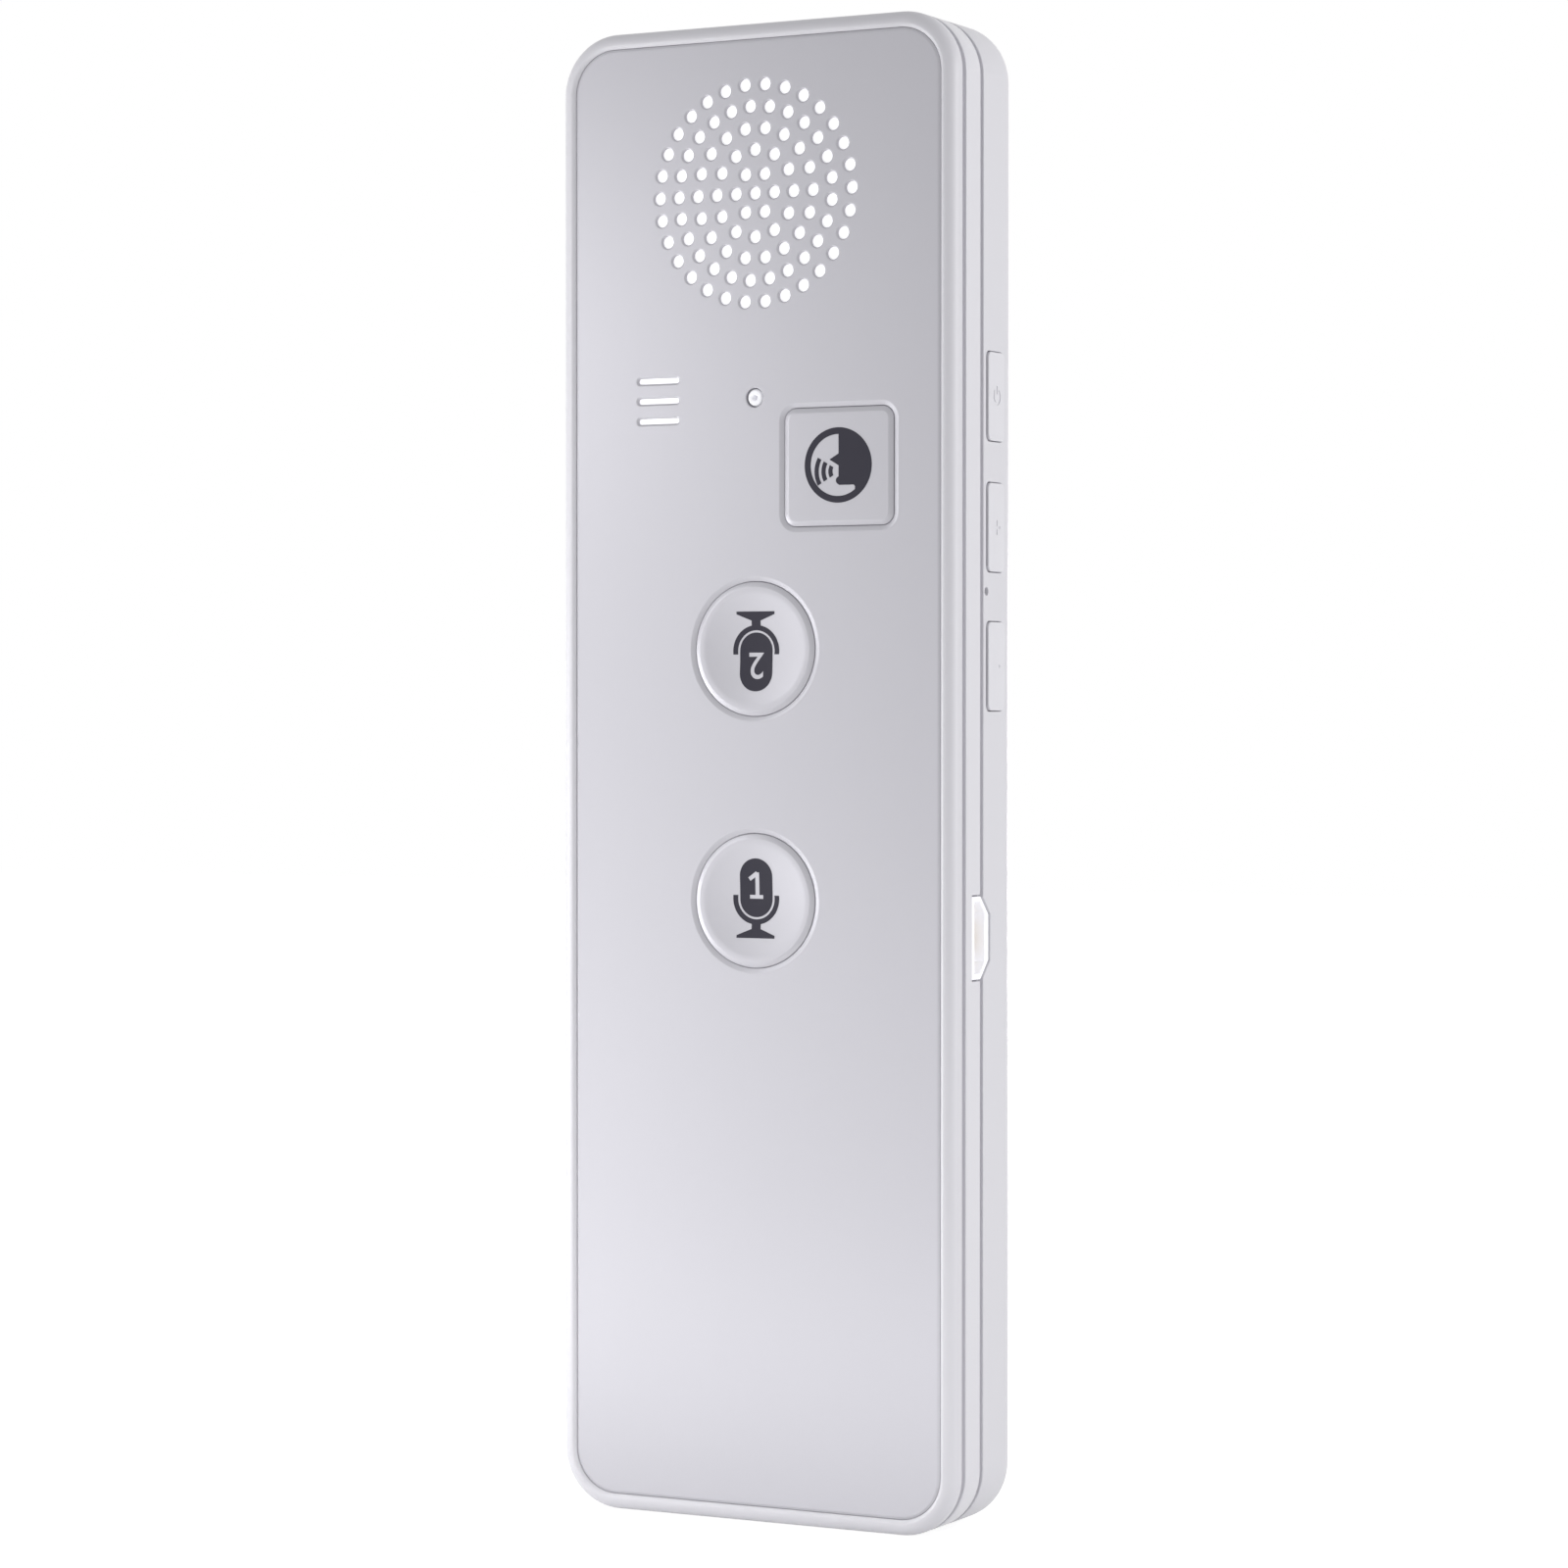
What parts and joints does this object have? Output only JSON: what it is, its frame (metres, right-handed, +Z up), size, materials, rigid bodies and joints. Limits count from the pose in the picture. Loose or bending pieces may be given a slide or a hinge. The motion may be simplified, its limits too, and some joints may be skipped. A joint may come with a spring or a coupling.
{
  "type": "handheld voice translator",
  "caption": "Slim upright handheld voice translator with a round speaker grille, two round talk keys, a square key, side keys and a charging port.",
  "frame": {"origin": "centre of the bottom end", "axes": "+Z up along the length, the front with the keys faces -Y, +X is the side with the side keys and port"},
  "size_m": [0.0442, 0.014, 0.148],
  "materials": {
    "panel_metal": "fine brushed, anodised silver",
    "case_white": "moulded light silver-grey, satin",
    "band_white": "moulded light silver-grey, glossier than the case",
    "key_silver": "silver paint over moulded keys, satin",
    "side_key_plastic": "moulded light silver-grey, satin",
    "adhesive": "black double-sided foam tape",
    "cloth_white": "white acoustic mesh",
    "rubber_black": "soft moulded rubber",
    "foam": "open-cell foam",
    "light_pipe": "milky translucent",
    "port_steel": "nickel-plated, bright",
    "port_insulator": "white moulded insulator",
    "contact_gold": "gold-plated",
    "board_green": "green solder mask",
    "chip_black": "moulded epoxy",
    "can_steel": "tinned sheet",
    "screw_steel": "zinc-plated",
    "switch_black": "moulded",
    "ceramic_tan": "fired ceramic",
    "magnet": "nickel-plated magnet",
    "cone_film": "thin formed film",
    "coil_copper": "enamelled copper wire",
    "battery_foil": "plain silver pouch",
    "wire_red": "insulated wire",
    "plug_white": "moulded",
    "led_chip": "clear lens"
  },
  "bodies": {
    "housing": {"antenna_chip": "ceramic_tan", "audio_chip": "chip_black", "back_cover": "case_white", "battery_cell": "battery_foil", "battery_leads": "wire_red", "battery_pad": "foam", "battery_plug": "plug_white", "battery_tape": "adhesive", "board_capacitors": "ceramic_tan", "board_screws": "screw_steel", "case_screws": "screw_steel", "charger_chip": "chip_black", "crystal": "can_steel", "front_bezel": "case_white", "front_panel": "panel_metal", "light_pipe": "light_pipe", "main_board": "board_green", "memory_chip": "chip_black", "microphone_boot": "rubber_black", "microphone_capsule": "can_steel", "microphone_mesh": "cloth_white", "mid_frame": "band_white", "panel_adhesive": "adhesive", "port_contacts": "contact_gold", "port_shell": "port_steel", "port_tongue": "port_insulator", "power_inductor": "chip_black", "power_switch": "switch_black", "processor_chip": "chip_black", "reset_switch": "switch_black", "shield_can": "can_steel", "speak_switch": "switch_black", "speaker_basket": "can_steel", "speaker_cone": "cone_film", "speaker_dust_cloth": "cloth_white", "speaker_gasket": "foam", "speaker_magnet": "magnet", "status_led": "led_chip", "talk_switch_one": "switch_black", "talk_switch_two": "switch_black", "voice_coil": "coil_copper", "volume_down_switch": "switch_black", "volume_up_switch": "switch_black"},
    "talk_key_one": {"talk_key_one": "key_silver", "talk_plunger_one": "switch_black"},
    "talk_key_two": {"talk_key_two": "key_silver", "talk_plunger_two": "switch_black"},
    "speak_key": {"speak_key": "key_silver", "speak_plunger": "switch_black"},
    "power_key": {"power_key": "side_key_plastic", "power_plunger": "switch_black"},
    "volume_up_key": {"volume_up_key": "side_key_plastic", "volume_up_plunger": "switch_black"},
    "volume_down_key": {"volume_down_key": "side_key_plastic", "volume_down_plunger": "switch_black"}
  },
  "joints": [
    {"name": "talk_key_one_press", "type": "slide", "parent": "housing", "child": "talk_key_one", "axis": [0, 1, 0], "range_m": [0, 0.0003], "stiffness_N_per_m": 600, "springref_m": -0.001},
    {"name": "talk_key_two_press", "type": "slide", "parent": "housing", "child": "talk_key_two", "axis": [0, 1, 0], "range_m": [0, 0.0003], "stiffness_N_per_m": 600, "springref_m": -0.001},
    {"name": "speak_key_press", "type": "slide", "parent": "housing", "child": "speak_key", "axis": [0, 1, 0], "range_m": [0, 0.0003], "stiffness_N_per_m": 600, "springref_m": -0.001},
    {"name": "power_key_press", "type": "slide", "parent": "housing", "child": "power_key", "axis": [-1, 0, 0], "range_m": [0, 0.00025], "stiffness_N_per_m": 800, "springref_m": -0.001},
    {"name": "volume_up_key_press", "type": "slide", "parent": "housing", "child": "volume_up_key", "axis": [-1, 0, 0], "range_m": [0, 0.00025], "stiffness_N_per_m": 800, "springref_m": -0.001},
    {"name": "volume_down_key_press", "type": "slide", "parent": "housing", "child": "volume_down_key", "axis": [-1, 0, 0], "range_m": [0, 0.00025], "stiffness_N_per_m": 800, "springref_m": -0.001}
  ]
}
